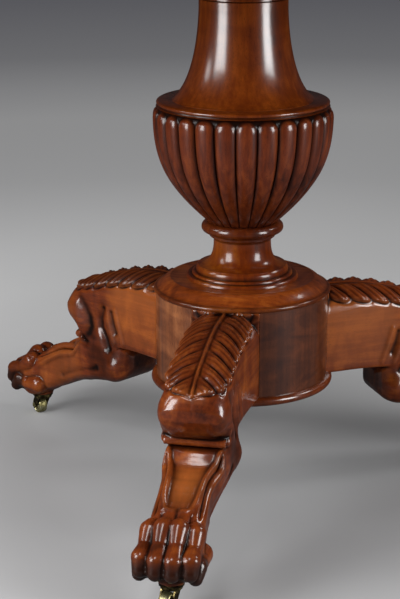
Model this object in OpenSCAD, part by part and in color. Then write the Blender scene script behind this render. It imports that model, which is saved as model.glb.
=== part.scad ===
// Round pedestal table in mahogany. A turned column with a gadrooned cup stands on a veneered drum,
// and three carved legs with lion-paw feet spread from the drum to swivelling brass casters.
// Millimetres. The floor is z = 0, the column stands on the Z axis, and one leg points along -Y.

/* [Table top] */
// Height of the top face above the floor
table_h = 750; // [742:1:780]
// Diameter of the round top over its lipping
top_d = 1050; // [900:10:1200]
// Thickness of the top
top_t = 28; // [24:1:32]
// Width of the moulded lipping round the top
lipping_w = 40; // [30:1:60]
// Number of curved lengths in the lipping
lipping_parts = 8; // [6:1:12]

/* [Bearers and pillar block] */
// Length of each bearer under the top
bearer_l = 760; // [600:10:800]
// Width of each bearer
bearer_w = 60; // [45:1:75]
// Depth of each bearer
bearer_h = 30; // [24:1:34]
// Distance of each bearer's middle from the column axis
bearer_y = 78; // [70:1:80]
// Side of the square pillar block
block_w = 230; // [220:1:250]
// Thickness of the pillar block
block_t = 26; // [22:1:30]

/* [Column] */
// Radius of the shaft at its straight throat
throat_r = 56; // [50:1:58]
// Radius of the shaft's flared foot
shaft_foot_r = 90; // [80:1:98]
// Share of the shaft's height, from the cup to the block, that flares
flare_share = 0.775; // [0.7:0.005:0.8]
// Radius of the turned ring that closes the cup
rim_r = 112.5; // [110:0.5:116]
// Thickness of that ring
rim_h = 8; // [6:0.5:9]
// Radius of the cup over the tops of its lobes
cup_r = 115; // [110:1:118]
// Radius of the cup's foot
cup_foot_r = 44; // [41:1:50]
// Height of the cup
cup_h = 150; // [144:1:156]
// Number of gadroon lobes round the cup
lobes = 26; // [20:2:28]
// Depth of the valleys between the lobes at their widest
lobe_depth = 6; // [3:0.5:7]
// Outer radius of the torus collar under the cup
collar_r = 52.8; // [50:0.2:56]
// Height of the torus collar
collar_h = 19; // [16:0.5:21]
// Radius of the socle at its waist
waist_r = 37; // [35:0.5:40]
// Radius of the socle's foot
socle_foot_r = 57; // [54:0.5:58]
// Height of the socle
socle_h = 38; // [34:0.5:40]
// Radius of the lowest of the three steps
low_step_r = 71.5; // [70:0.5:74]
// Height of the lowest step
low_step_h = 4; // [3:0.5:5]
// Radius of the middle step
mid_step_r = 65; // [63:0.5:68]
// Height of the middle step
mid_step_h = 3.5; // [3:0.5:5]
// Radius of the highest step
high_step_r = 59.5; // [59:0.5:61]
// Height of the highest step
high_step_h = 8.5; // [7:0.5:10]

/* [Column joints] */
// Radius of the pin under the shaft, in the cup
shaft_pin_r = 32; // [28:1:36]
// Length of that pin inside the cup
shaft_pin_l = 40; // [30:1:50]
// Radius of the pin on top of the shaft, through the block
head_pin_r = 28; // [24:1:34]
// Radius of the pin under the cup, in the socle
cup_pin_r = 24; // [20:0.5:26]
// Length of that pin inside the socle
cup_pin_l = 18; // [14:1:24]
// Radius of the pin under the socle, in the drum
socle_pin_r = 30; // [26:1:34]
// Length of that pin inside the drum's core
socle_pin_l = 25; // [20:1:30]
// Gap between a pin and its socket, for glue
glue_gap = 0.1; // [0.05:0.05:0.2]

/* [Drum] */
// Height of the drum's underside above the floor
base_z = 147; // [145:1:150]
// Radius of the drum's veneered wall
drum_r = 112; // [110:0.5:114]
// Height of the drum's wall
drum_h = 111; // [106:1:114]
// Thickness of the curved wall panels
panel_t = 14; // [10:1:16]
// Radius of the cap over its edge bead
cap_r = 115; // [114.5:0.5:118]
// Thickness of the domed cap
cap_h = 19; // [17:0.5:21]
// Radius of the base over its half-round moulding
base_r = 118.6; // [117:0.2:122]
// Thickness of the base
base_h = 11; // [9:0.5:11.5]

/* [Legs] */
// Width of a leg where it meets the drum
leg_w = 87; // [80:1:90]
// Rise of the thigh's underside over the drum's underside
thigh_rise = 9; // [7:0.5:10]
// Width of the thigh at its middle
thigh_w = 75; // [70:1:78]
// Width of the knee
knee_w = 82; // [78:1:86]
// Distance of the knee's front from the column axis
knee_reach = 300; // [292:1:304]
// Height of the knee's front above the floor
knee_z = 198; // [195:1:202]
// Distance of the hock's back face from the column axis
hock_reach = 193; // [186:1:198]
// Height of the hock above the floor
hock_z = 104; // [100:1:108]
// Width of the hock
hock_w = 70; // [66:1:74]
// Width of the shank at its narrowest
shank_w = 58; // [54:1:62]
// Width of the paw over its pad
paw_w = 86; // [80:1:90]
// Distance between the middles of neighbouring toes at their knuckles
toe_pitch = 17; // [15:0.5:18]
// Radius of the toes at their knuckles
toe_r = 12; // [11:0.5:12.5]
// Number of scallops along each edge of the carved leaf
scallops = 6; // [5:1:8]
// Depth of those scallops
scallop_d = 2; // [1:0.5:3]
// Distance of the leg's inner end from the column axis
leg_root = 84; // [80:1:88]
// Length of the leg's dovetail tongue
tongue_l = 22; // [16:1:24]
// Half width of the tongue where it leaves the leg
tongue_w = 11; // [9:0.5:12]

/* [Casters] */
// Distance of a caster's swivel pin from the column axis
stem_reach = 393; // [388:1:398]
// Height of the paw's sole, and so of a caster
caster_h = 34; // [34:0.5:38]
// Diameter of the brass wheel
wheel_d = 25; // [22:0.5:25]
// Width of the wheel
wheel_w = 13; // [10:0.5:14]
// Distance of the wheel's axle behind the swivel pin
trail = 10; // [8:0.5:11]
// Angle between a leg's own direction and that in which its parked wheel trails
park_turn = -15; // [-180:0.5:180]
// Diameter of the plate under the paw
plate_d = 30; // [30:0.5:36]
// Thickness of that plate
plate_t = 2.5; // [2:0.1:3]
// Radius of the swivel pin
stem_r = 4; // [3.5:0.1:4.5]
// Length of the swivel pin inside the paw
stem_l = 26; // [20:1:30]
// Radius of the horn's round top
horn_r = 13; // [12.5:0.1:14]
// Thickness of the horn's round top
horn_t = 3.5; // [3:0.1:4]
// Thickness of each arm of the horn
arm_t = 2.4; // [2:0.1:2.8]
// Radius of the wheel's axle
axle_r = 2.5; // [2:0.1:3]
// Gap all round a pin that turns
running_gap = 0.06; // [0.03:0.01:0.09]
// Gap between flat faces that slide on each other
slide_gap = 0.2; // [0.1:0.05:0.3]

/* [Ironwork] */
// Radius of the tie rod through the column
rod_r = 6; // [5:0.5:7]
// Thickness of the washers
washer_t = 2.5; // [2:0.5:3]
// Radius of the washers
washer_r = 18; // [16:1:20]
// Width of the nuts across their flats
nut_af = 19; // [17:1:21]
// Thickness of the nuts
nut_t = 10; // [8:0.5:11]
// Radius of the three-armed strap's middle
strap_r = 52; // [46:1:56]
// Width of the strap's arms
strap_w = 30; // [26:1:34]
// Thickness of the strap
strap_t = 3; // [2:0.5:4]
// Shank radius of the wood screws
screw_r = 2.2; // [1.8:0.1:2.6]
// Head radius of the wood screws
head_r = 4.4; // [4:0.1:4.8]

/* [Hidden] */

// Directions of the legs, seen from above
FRONT = -90;
RIGHT = 30;
LEFT = 150;
LEGS = [FRONT, RIGHT, LEFT];

// Heights of the stacked pieces, from the drum upwards
core_z = base_z + base_h;
cap_z = core_z + drum_h;
steps_z = cap_z + cap_h;
socle_z = steps_z + low_step_h + mid_step_h + high_step_h;
collar_z = socle_z + socle_h;
cup_z = collar_z + collar_h;
rim_z = cup_z + cup_h;
shaft_z = rim_z + rim_h;
top_z = table_h - top_t;
bearer_z = top_z - bearer_h;
block_z = bearer_z - block_t;
thigh_z = base_z + thigh_rise;
sole_z = caster_h;

// The wheel, and the horn that holds it
wheel_r = wheel_d / 2;
plate_z = sole_z - plate_t;
horn_z = plate_z - slide_gap - horn_t;
rivet_t = 1.8;
rivet_z = horn_z - slide_gap - rivet_t;
rivet_r = stem_r + 1.5;
wheel_side_gap = 0.6;
arm_y = wheel_w / 2 + wheel_side_gap;
axle_boss_r = axle_r + 2.4;
axle_head_t = 1.2;
axle_head_r = axle_r + 1.3;

// Clearances and small shapes that several pieces share
bore_gap = 0.4;
face_gap = 0.15;
hole_gap = 0.3;
rod_bore_r = rod_r + bore_gap;
wood = "#6a2c15";
figured = "#4d2214";
orange_wood = "#8a3f1c";
brass = "#b8954a";
iron = "#4a4744";

// Curves

function mix(a, b, t) = a + (b - a) * t;
function bezier(a, b, c, d, steps) = [
    for (i = [0:steps])
        let(t = i / steps, u = 1 - t)
        a * u * u * u + b * 3 * u * u * t + c * 3 * u * t * t + d * t * t * t
];
function arc(centre, r, from, to, steps) = [
    for (i = [0:steps])
        let(a = mix(from, to, i / steps))
        [centre[0] + r * cos(a), centre[1] + r * sin(a)]
];

// A smooth curve through rows that start with their place along it: the row at place x
function gap_at(x, rows, i = 0) = i >= len(rows) - 2 || x <= rows[i + 1][0] ? i : gap_at(x, rows, i + 1);
function tangent(rows, i) =
    let(lo = max(i - 1, 0), hi = min(i + 1, len(rows) - 1))
    (rows[hi] - rows[lo]) / (rows[hi][0] - rows[lo][0]);
function row_at(x, rows) =
    let(
        i = gap_at(x, rows),
        h = rows[i + 1][0] - rows[i][0],
        t = (x - rows[i][0]) / h
    )
    rows[i] * (2 * t * t * t - 3 * t * t + 1)
    + tangent(rows, i) * h * (t * t * t - 2 * t * t + t)
    + rows[i + 1] * (3 * t * t - 2 * t * t * t)
    + tangent(rows, i + 1) * h * (t * t * t - t * t);
function places(rows, steps) = concat(
    [for (i = [0:len(rows) - 2]) for (j = [0:steps - 1]) mix(rows[i][0], rows[i + 1][0], j / steps)],
    [rows[len(rows) - 1][0]]
);

// A closed skin over rings of points, each ring counter-clockwise seen from the last one
module skin(rings) {
    n = len(rings[0]);
    last = (len(rings) - 1) * n;
    polyhedron(
        points = [for (ring = rings) for (p = ring) p],
        faces = concat(
            [[for (k = [0:n - 1]) k]],
            [[for (k = [0:n - 1]) last + n - 1 - k]],
            [for (i = [0:len(rings) - 2]) for (k = [0:n - 1])
                [i * n + k, (i + 1) * n + k, (i + 1) * n + (k + 1) % n]],
            [for (i = [0:len(rings) - 2]) for (k = [0:n - 1])
                [i * n + k, (i + 1) * n + (k + 1) % n, i * n + (k + 1) % n]]
        )
    );
}

module turned(outline) {
    rotate_extrude($fn = 96) polygon(outline);
}

module disc(r, z, h) {
    translate([0, 0, z]) cylinder(r = r, h = h, $fn = 96);
}

// A slotted wood screw, head down, with its head's face at z = 0
module screw(l) {
    cylinder(r1 = head_r, r2 = screw_r, h = head_r - screw_r, $fn = 24);
    cylinder(r = screw_r, h = l - 2 * screw_r, $fn = 24);
    translate([0, 0, l - 2 * screw_r]) cylinder(r1 = screw_r, r2 = 0.4, h = 2 * screw_r, $fn = 24);
}

// The hole that such a screw fills
module screw_hole(l) {
    gap = glue_gap;
    translate([0, 0, -0.01])
        cylinder(r1 = head_r + gap, r2 = screw_r + gap, h = head_r - screw_r + 0.01, $fn = 24);
    cylinder(r = screw_r + gap, h = l + 0.5, $fn = 24);
}

// Top, bearers and pillar block

field_r = top_d / 2 - lipping_w;
screw_x = [-330, -120, 120, 330];
screw_span = bearer_l / 760;
counterbore = 12;
top_screw_l = bearer_h - counterbore + 14;
block_screw_l = block_t + 18;
block_screw_x = block_w / 2 - 22;

module top_panel() {
    color(wood) difference() {
        disc(field_r - glue_gap, top_z, top_t);
        for (y = [-bearer_y, bearer_y], x = screw_x)
            translate([x * screw_span, y, bearer_z + counterbore]) screw_hole(top_screw_l);
    }
}

// Thumb-moulded lipping in curved lengths, with a hairline between neighbours
module top_lipping() {
    turn = 360 / lipping_parts;
    hairline = 0.02;
    r = top_d / 2;
    outline = concat(
        [[field_r, top_z], [r - 8, top_z], [r - 8, top_z + 5], [r - 4, top_z + 6]],
        arc([r - 9, top_z + top_t - 12], 9, -60, 0, 6),
        arc([r - 9, top_z + top_t - 9], 9, 0, 90, 8),
        [[field_r, top_z + top_t]]
    );
    color(figured) for (i = [0:lipping_parts - 1])
        rotate([0, 0, i * turn + hairline / 2])
            rotate_extrude(angle = turn - hairline, $fn = 96) polygon(outline);
}

// A bearer with its ends cut back, drilled for the screws of the top and of the block
module bearer(y) {
    end = 12;
    slope = 70;
    color(orange_wood) difference() {
        translate([0, y + bearer_w / 2, 0]) rotate([90, 0, 0]) linear_extrude(bearer_w) polygon([
            [-bearer_l / 2, top_z], [-bearer_l / 2, top_z - end], [-bearer_l / 2 + slope, bearer_z],
            [bearer_l / 2 - slope, bearer_z], [bearer_l / 2, top_z - end], [bearer_l / 2, top_z]
        ]);
        for (x = screw_x) translate([x * screw_span, y, bearer_z]) {
            translate([0, 0, counterbore]) screw_hole(top_screw_l);
            translate([0, 0, -1]) cylinder(r = head_r + hole_gap, h = counterbore + 1, $fn = 24);
        }
        for (x = [-block_screw_x, block_screw_x])
            translate([x, y, block_z]) screw_hole(block_screw_l);
    }
}

module bearer_front() {
    bearer(-bearer_y);
}

module bearer_back() {
    bearer(bearer_y);
}

module top_screws() {
    color(iron) for (y = [-bearer_y, bearer_y], x = screw_x)
        translate([x * screw_span, y, bearer_z + counterbore]) screw(top_screw_l);
}

// Square block with its lower edges bevelled, bored for the shaft's head pin
module pillar_block() {
    bevel = 12;
    half = block_w / 2;
    color(wood) difference() {
        translate([-half, -half, block_z]) cube([block_w, block_w, block_t]);
        for (a = [0:90:270]) rotate([0, 0, a])
            translate([half, 0, block_z]) rotate([0, 45, 0])
                cube([bevel * sqrt(2), block_w + 2, bevel * sqrt(2)], center = true);
        disc(head_pin_r + glue_gap, block_z - 1, block_t + 2);
        for (y = [-bearer_y, bearer_y], x = [-block_screw_x, block_screw_x])
            translate([x, y, block_z]) screw_hole(block_screw_l);
    }
}

module block_screws() {
    color(iron) for (y = [-bearer_y, bearer_y], x = [-block_screw_x, block_screw_x])
        translate([x, y, block_z]) screw(block_screw_l);
}

// Column

// Flared shaft with a grooved neck, an astragal under the block and a pin at each end
module column_shaft() {
    astragal_r = 4.5;
    astragal_z = block_z - 3 - astragal_r;
    flare_z = mix(shaft_z, block_z, flare_share);
    groove_z = mix(flare_z, astragal_z - astragal_r, 0.62);
    color(wood) turned(concat(
        [[rod_bore_r, rim_z - shaft_pin_l], [shaft_pin_r, rim_z - shaft_pin_l], [shaft_pin_r, shaft_z]],
        [[shaft_foot_r, shaft_z], [shaft_foot_r, shaft_z + 0.8]],
        bezier(
            [shaft_foot_r - 0.3, shaft_z + 1.2], [mix(shaft_foot_r, throat_r, 0.545), shaft_z + 15],
            [throat_r + 2.2, mix(shaft_z, flare_z, 0.475)], [throat_r, flare_z], 18
        ),
        [[throat_r, groove_z - 1], [throat_r - 1.2, groove_z], [throat_r + 1, groove_z + 1]],
        [[throat_r + 1, astragal_z - astragal_r]],
        arc([throat_r + 1.5, astragal_z], astragal_r, -90, 90, 10),
        [[throat_r - 1, astragal_z + astragal_r], [throat_r - 1, block_z], [head_pin_r, block_z]],
        [[head_pin_r, block_z + block_t], [rod_bore_r, block_z + block_t]]
    ));
}

module cup_rim() {
    bead_r = 2.4;
    color(wood) turned(concat(
        [[shaft_pin_r + glue_gap, rim_z], [rim_r - 1.5, rim_z]],
        arc([rim_r - bead_r, rim_z + bead_r], bead_r, -60, 60, 6),
        [[rim_r - 3, shaft_z - 0.6], [rim_r - 4.5, shaft_z], [shaft_pin_r + glue_gap, shaft_z]]
    ));
}

// The cup's meridian over the tops of its lobes, as [radius, height] points
cup_meridian = concat(
    bezier(
        [cup_foot_r, cup_z], [mix(cup_foot_r, cup_r, 0.67), cup_z + 0.345 * cup_h],
        [cup_r - 5.5, cup_z + 0.5 * cup_h], [cup_r, cup_z + 0.95 * cup_h], 12
    ),
    [[cup_r - 0.8, cup_z + 0.975 * cup_h], [cup_r - 4.5, rim_z - 1], [cup_r - 6.5, rim_z]]
);
// Share of the full lobe depth at each of those points: the lobes fade out at the foot and the arch
function lobe_share(z) =
    let(up = (z - cup_z) / cup_h)
    min(1, 0.3 + 1.6 * up) * (up > 0.96 ? max(0.15, 1 - pow((up - 0.96) / 0.04, 2)) : 1);

// Convex lobes with sharp valleys between them, 6 points to a lobe
module gadrooned_cup() {
    bows = [-1, -0.84, -0.46, 0, 0.46, 0.84];
    half = 180 / lobes;
    color(wood) difference() {
        union() {
            skin([for (p = cup_meridian) [
                for (i = [0:lobes - 1]) for (u = bows)
                    let(
                        r = p[0] - lobe_depth * lobe_share(p[1]) * (1 - sqrt(1 - u * u)),
                        a = FRONT + (2 * i + u) * half
                    )
                    [r * cos(a), r * sin(a), p[1]]
            ]]);
            disc(cup_pin_r, collar_z - cup_pin_l, collar_h + cup_pin_l + 1);
        }
        disc(shaft_pin_r + glue_gap, rim_z - shaft_pin_l - face_gap, shaft_pin_l + 1);
        disc(rod_bore_r, collar_z - cup_pin_l - 1, cup_h + collar_h + cup_pin_l);
    }
}

module torus_collar() {
    swell = collar_h / 2 - 0.5;
    color(wood) turned(concat(
        [[cup_pin_r + glue_gap, collar_z], [collar_r - swell, collar_z]],
        arc([collar_r - swell, collar_z + collar_h / 2], swell, -90, 90, 14),
        [[collar_r - swell, cup_z], [cup_pin_r + glue_gap, cup_z]]
    ));
}

// Hollow-sided socle with a socket above and a pin below
module socle() {
    color(wood) turned(concat(
        [[rod_bore_r, cap_z - socle_pin_l], [socle_pin_r, cap_z - socle_pin_l], [socle_pin_r, socle_z]],
        [[socle_foot_r, socle_z]],
        bezier(
            [socle_foot_r, socle_z + 0.6], [waist_r - 0.3, socle_z + 2],
            [waist_r, socle_z + 0.62 * socle_h], [waist_r, collar_z - 4], 14
        ),
        [[waist_r + 1, collar_z - 2.5], [waist_r + 3.4, collar_z - 1.2], [waist_r + 5, collar_z]],
        [[cup_pin_r + glue_gap, collar_z], [cup_pin_r + glue_gap, collar_z - cup_pin_l - face_gap]],
        [[rod_bore_r, collar_z - cup_pin_l - face_gap]]
    ));
}

module step_ring() {
    z1 = steps_z + low_step_h;
    z2 = z1 + mid_step_h;
    ease = 0.8;
    color(wood) turned([
        [socle_pin_r + glue_gap, steps_z], [low_step_r + 1, steps_z],
        [low_step_r, z1 - ease], [low_step_r - ease, z1],
        [mid_step_r, z1], [mid_step_r, z2 - ease], [mid_step_r - ease, z2],
        [high_step_r, z2], [high_step_r - 0.6, socle_z - 2], [high_step_r - 2.2, socle_z],
        [socle_pin_r + glue_gap, socle_z]
    ]);
}

// Drum

// Domed cap with a beaded edge and a low crest, dished inside the crest
module drum_cap() {
    bead_r = 3.2;
    crest_r = cap_r - 22;
    color(wood) turned(concat(
        [[socle_pin_r + glue_gap, cap_z], [cap_r - 2.5, cap_z]],
        arc([cap_r - bead_r, cap_z + 3.6], bead_r, -70, 70, 8),
        [[cap_r - 3.4, cap_z + 6.8]],
        bezier(
            [cap_r - 4, cap_z + 6.9], [cap_r - 9, cap_z + 8],
            [cap_r - 14, steps_z - 1], [crest_r, steps_z + 0.4], 10
        ),
        [[crest_r - 1.2, steps_z], [mix(crest_r, low_step_r, 0.5), steps_z - 0.8]],
        [[low_step_r + 1.5, steps_z - 0.3], [low_step_r + 1, steps_z]],
        [[socle_pin_r + glue_gap, steps_z]]
    ));
}

// The slot that a leg's inner end fills, in that leg's own direction
module leg_slot(gap) {
    translate([leg_root - gap, -leg_w / 2 - gap, core_z - 1])
        cube([base_r, leg_w + 2 * gap, drum_h + 2]);
}

module tongue(gap, from, to) {
    flare = tongue_w + 3;
    translate([0, 0, from]) linear_extrude(to - from) polygon([
        [leg_root + 1, -tongue_w - gap], [leg_root - tongue_l - gap, -flare - gap],
        [leg_root - tongue_l - gap, flare + gap], [leg_root + 1, tongue_w + gap]
    ]);
}

strap_reach = drum_r - 3;
strap_holes = [leg_root + 8, strap_reach - 8];

// The strap, or with a gap the recess that it lies in
module strap(gap, z, h) {
    disc(strap_r + gap, z, h);
    for (a = LEGS) rotate([0, 0, a])
        translate([0, -strap_w / 2 - gap, z]) cube([strap_reach + gap, strap_w + 2 * gap, h]);
}

base_screw_r = 78;
base_screw_l = base_h + 20;
strap_screw_l = 26;

module drum_core() {
    color(orange_wood) difference() {
        disc(drum_r - panel_t - glue_gap, core_z, drum_h);
        for (a = LEGS) rotate([0, 0, a]) {
            leg_slot(glue_gap);
            tongue(face_gap, core_z - 1, cap_z + 1);
            rotate([0, 0, 60]) translate([base_screw_r, 0, base_z]) screw_hole(base_screw_l);
        }
        strap(hole_gap, core_z - 1, strap_t + 1 + face_gap);
        disc(socle_pin_r + glue_gap, cap_z - socle_pin_l - face_gap, socle_pin_l + 1);
        disc(rod_bore_r, core_z - 1, drum_h + 2);
    }
}

// Base with a half-round edge
module drum_base() {
    color(wood) difference() {
        turned(concat(
            [[rod_bore_r, base_z]],
            arc([base_r - base_h / 2, base_z + base_h / 2], base_h / 2, -90, 90, 14),
            [[rod_bore_r, core_z]]
        ));
        for (a = LEGS) rotate([0, 0, a + 60])
            translate([base_screw_r, 0, base_z]) screw_hole(base_screw_l);
    }
}

// The curved panel between the leg at this angle and the next one
module drum_panel(a) {
    color(figured) rotate([0, 0, a]) difference() {
        rotate_extrude(angle = 120, $fn = 96)
            translate([drum_r - panel_t, core_z]) square([panel_t, drum_h]);
        leg_slot(glue_gap);
        rotate([0, 0, 120]) leg_slot(glue_gap);
    }
}

module drum_panel_right() {
    drum_panel(FRONT);
}

module drum_panel_back() {
    drum_panel(RIGHT);
}

module drum_panel_left() {
    drum_panel(LEFT);
}

module base_screws() {
    color(brass) for (a = LEGS) rotate([0, 0, a + 60])
        translate([base_screw_r, 0, base_z]) screw(base_screw_l);
}

// Three-armed iron strap that ties the legs to the core
module iron_strap() {
    color(iron) difference() {
        strap(0, core_z, strap_t);
        disc(rod_bore_r, core_z - 1, strap_t + 2);
        for (a = LEGS, x = strap_holes) rotate([0, 0, a])
            translate([x, 0, core_z]) screw_hole(strap_screw_l);
    }
}

module strap_screws() {
    color(iron) for (a = LEGS, x = strap_holes) rotate([0, 0, a])
        translate([x, 0, core_z]) screw(strap_screw_l);
}

// Tie rod through the column, with a washer and a nut at each end

module tie_rod() {
    end = washer_t + nut_t + 3;
    color(iron) disc(rod_r, base_z - end, block_z + block_t - base_z + 2 * end);
}

module washer(z) {
    color(iron) difference() {
        disc(washer_r, z, washer_t);
        disc(rod_bore_r, z - 1, washer_t + 2);
    }
}

module nut(z) {
    color(iron) difference() {
        translate([0, 0, z]) cylinder(d = nut_af / cos(30), h = nut_t, $fn = 6);
        disc(rod_r + glue_gap, z - 1, nut_t + 2);
    }
}

module upper_washer() {
    washer(block_z + block_t);
}

module upper_nut() {
    nut(block_z + block_t + washer_t);
}

module lower_washer() {
    washer(base_z - washer_t);
}

module lower_nut() {
    nut(base_z - washer_t - nut_t);
}

// Legs, each drawn along +X from the column axis and turned to its own direction

// Cross-section of a leg: flat sides, an elliptical crown above and small round edges below
function section(x, w, low, high, crown_w, crown_h, edge_r) = concat(
    [for (a = [0:22.5:90]) [x, w - crown_w + crown_w * cos(a), high - crown_h + crown_h * sin(a)]],
    [for (a = [90:22.5:180]) [x, crown_w - w + crown_w * cos(a), high - crown_h + crown_h * sin(a)]],
    [for (a = [180:45:270]) [x, edge_r - w + edge_r * cos(a), low + edge_r + edge_r * sin(a)]],
    [for (a = [270:45:360]) [x, w - edge_r + edge_r * cos(a), low + edge_r + edge_r * sin(a)]]
);
module leg_loft(rows, steps) {
    skin([for (x = places(rows, steps))
        let(r = row_at(x, rows))
        section(x, r[1], r[2], r[3], r[4], r[5], r[6])]);
}

// Each row: distance from the axis, half width, underside, crest, crown width, crown height, edge
thigh_rows = [
    [drum_r - 4, leg_w / 2 - 0.5, thigh_z, cap_z - 0.5, 30, 13, 4],
    [drum_r + 45, mix(leg_w, thigh_w, 0.6) / 2, thigh_z, cap_z + 0.5, 34, 22, 4],
    [mix(drum_r, knee_reach, 0.43), thigh_w / 2, thigh_z - 2, cap_z - 6, 34, 22, 4],
    [mix(drum_r, knee_reach, 0.66), thigh_w / 2, thigh_z - 8, knee_z + 53, 34, 22, 5],
    [knee_reach - 34, knee_w / 2, knee_z - 48, knee_z + 42, 37, 24, 7],
    [knee_reach - 14, knee_w / 2 - 1, knee_z - 31, knee_z + 32, 36, 28, 9],
    [knee_reach - 4, knee_w / 2 - 4, knee_z - 20, knee_z + 20, 32, 18, 8],
    [knee_reach, knee_w / 2 - 8, knee_z - 9, knee_z + 9, 28, 9, 5]
];
shank_rows = [
    [hock_reach, hock_w / 2 - 2, hock_z + 8, thigh_z - 1, 12, 6, 5],
    [hock_reach + 13, hock_w / 2, hock_z, thigh_z + 2, 14, 8, 8],
    [hock_reach + 39, hock_w / 2, hock_z - 6, thigh_z, 14, 8, 10],
    [knee_reach - 32, hock_w / 2 - 2, hock_z - 15, hock_z + 45, 14, 8, 10],
    [knee_reach - 8, shank_w / 2 + 2, hock_z - 23, hock_z + 35, 14, 9, 10],
    [knee_reach + 20, shank_w / 2, hock_z - 36, hock_z + 25, 16, 10, 10],
    [knee_reach + 45, shank_w / 2 + 1, sole_z + 22, sole_z + 86, 20, 12, 10],
    [stem_reach - 27, paw_w / 2 - 14, sole_z + 16, sole_z + 78, 24, 20, 16],
    [stem_reach - 15, paw_w / 2 - 11, sole_z + 5, sole_z + 72, 28, 26, 20],
    [stem_reach + 15, paw_w / 2 - 8, sole_z + 6, sole_z + 56, 30, 24, 22],
    [stem_reach + 34, paw_w / 2 - 12, sole_z + 18, sole_z + 34, 24, 8, 8]
];
// Each row: distance from the axis, half width, edge height, crest height
leaf_rows = [
    [drum_r + 1, leg_w / 2, cap_z - 13, cap_z + 0.5],
    [drum_r + 45, mix(leg_w, thigh_w, 0.6) / 2, cap_z - 21, cap_z + 2],
    [mix(drum_r, knee_reach, 0.43), thigh_w / 2, cap_z - 28, cap_z - 4.5],
    [mix(drum_r, knee_reach, 0.66), thigh_w / 2, knee_z + 33, knee_z + 54.5],
    [knee_reach - 34, knee_w / 2 - 2, knee_z + 27, knee_z + 43.5],
    [knee_reach - 8, 20, knee_z + 24, knee_z + 31]
];

// Carved leaf over the thigh, with scalloped edges that stand proud of the flat sides
module leaf() {
    skin([for (x = places(leaf_rows, 4))
        let(
            r = row_at(x, leaf_rows),
            bow = abs(sin(180 * scallops * (x - drum_r - 1) / (knee_reach - drum_r))),
            w = r[1] + 0.4 + scallop_d * sqrt(bow)
        )
        section(x, w, r[2] - 2, r[3], w - 1, r[3] - r[2], 1)]);
}

module knuckle(x, y, z, r) {
    translate([stem_reach + x, y, sole_z + z]) sphere(r = r, $fn = 14);
}

// One front toe: a raised knuckle, a hollow, a second knuckle and the sheathed claw
module toe(y, back) {
    spread = 1.12;
    hull() {
        knuckle(8 - back, y, 60, toe_r);
        knuckle(22 - back, y * 1.08, 47, toe_r - 1.5);
    }
    hull() {
        knuckle(22 - back, y * 1.08, 47, toe_r - 1.5);
        knuckle(37 - back, y * spread, 34, toe_r);
    }
    hull() {
        knuckle(37 - back, y * spread, 34, toe_r);
        knuckle(37 - back, y * spread, 26, toe_r - 2);
    }
}

// The short toe on each flank of the paw, set back and lower
module side_toe(side) {
    hull() {
        knuckle(-2, side * (paw_w / 2 - 10), 48, toe_r - 2.5);
        knuckle(12, side * (paw_w / 2 - 8), 31, toe_r - 2);
    }
    hull() {
        knuckle(12, side * (paw_w / 2 - 8), 31, toe_r - 2);
        knuckle(20, side * (paw_w / 2 - 9), 23, toe_r - 4);
    }
}

plate_screws = [0, 120, 240];
plate_screw_r = plate_d / 2 - 5;
plate_screw_l = 16;

module leg_body() {
    leg_loft(thigh_rows, 2);
    leg_loft(shank_rows, 2);
    leaf();
    translate([leg_root, -leg_w / 2, core_z]) cube([drum_r - leg_root + 1, leg_w, drum_h]);
    tongue(0, core_z, cap_z);
    translate([knee_reach - 24, 0, knee_z - 40])
        rotate([90, 0, 0]) cylinder(r = 6.5, h = knee_w - 16, center = true, $fn = 20);
    for (i = [0:3]) toe((i - 1.5) * toe_pitch, i == 0 || i == 3 ? 5 : 0);
    side_toe(-1);
    side_toe(1);
    translate([stem_reach, 0, 0]) disc(plate_d / 2 + 1, sole_z, 20);
}

module leg(a) {
    color(wood) rotate([0, 0, a]) difference() {
        leg_body();
        translate([stem_reach - 60, -paw_w, sole_z - 20]) cube([120, 2 * paw_w, 20]);
        translate([0, 0, core_z - 20]) cylinder(r = base_r + hole_gap, h = 20, $fn = 96);
        translate([0, 0, cap_z]) cylinder(r = cap_r + hole_gap, h = 40, $fn = 96);
        translate([0, -strap_w / 2 - hole_gap, core_z - 1])
            cube([strap_reach + hole_gap, strap_w + 2 * hole_gap, strap_t + 1 + face_gap]);
        for (x = strap_holes) translate([x, 0, core_z])
            cylinder(r = screw_r + hole_gap, h = strap_screw_l + 0.5, $fn = 16);
        translate([stem_reach, 0, sole_z - 1])
            cylinder(r = stem_r + hole_gap, h = stem_l + 1.5, $fn = 24);
        for (b = plate_screws)
            translate([stem_reach + plate_screw_r * cos(b), plate_screw_r * sin(b), sole_z - 1])
                cylinder(r = screw_r + hole_gap, h = plate_screw_l, $fn = 16);
    }
}

module leg_front() {
    leg(FRONT);
}

module leg_right() {
    leg(RIGHT);
}

module leg_left() {
    leg(LEFT);
}

// Casters, each drawn about its own swivel pin

module at_stem(a) {
    rotate([0, 0, a]) translate([stem_reach, 0, 0]) children();
}

module at_stem_parked(a) {
    at_stem(a) rotate([0, 0, park_turn]) children();
}

// Brass plate with the swivel pin riveted through it
module caster_plate(a) {
    color(brass) at_stem(a) difference() {
        union() {
            disc(plate_d / 2, plate_z, plate_t);
            disc(stem_r, rivet_z, sole_z + stem_l - rivet_z);
            disc(rivet_r, rivet_z, rivet_t);
        }
        for (b = plate_screws) rotate([0, 0, b])
            translate([plate_screw_r, 0, plate_z]) screw_hole(plate_screw_l);
    }
}

module caster_screws() {
    color(brass) for (a = LEGS, b = plate_screws)
        at_stem(a) rotate([0, 0, b]) translate([plate_screw_r, 0, plate_z]) screw(plate_screw_l);
}

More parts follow.
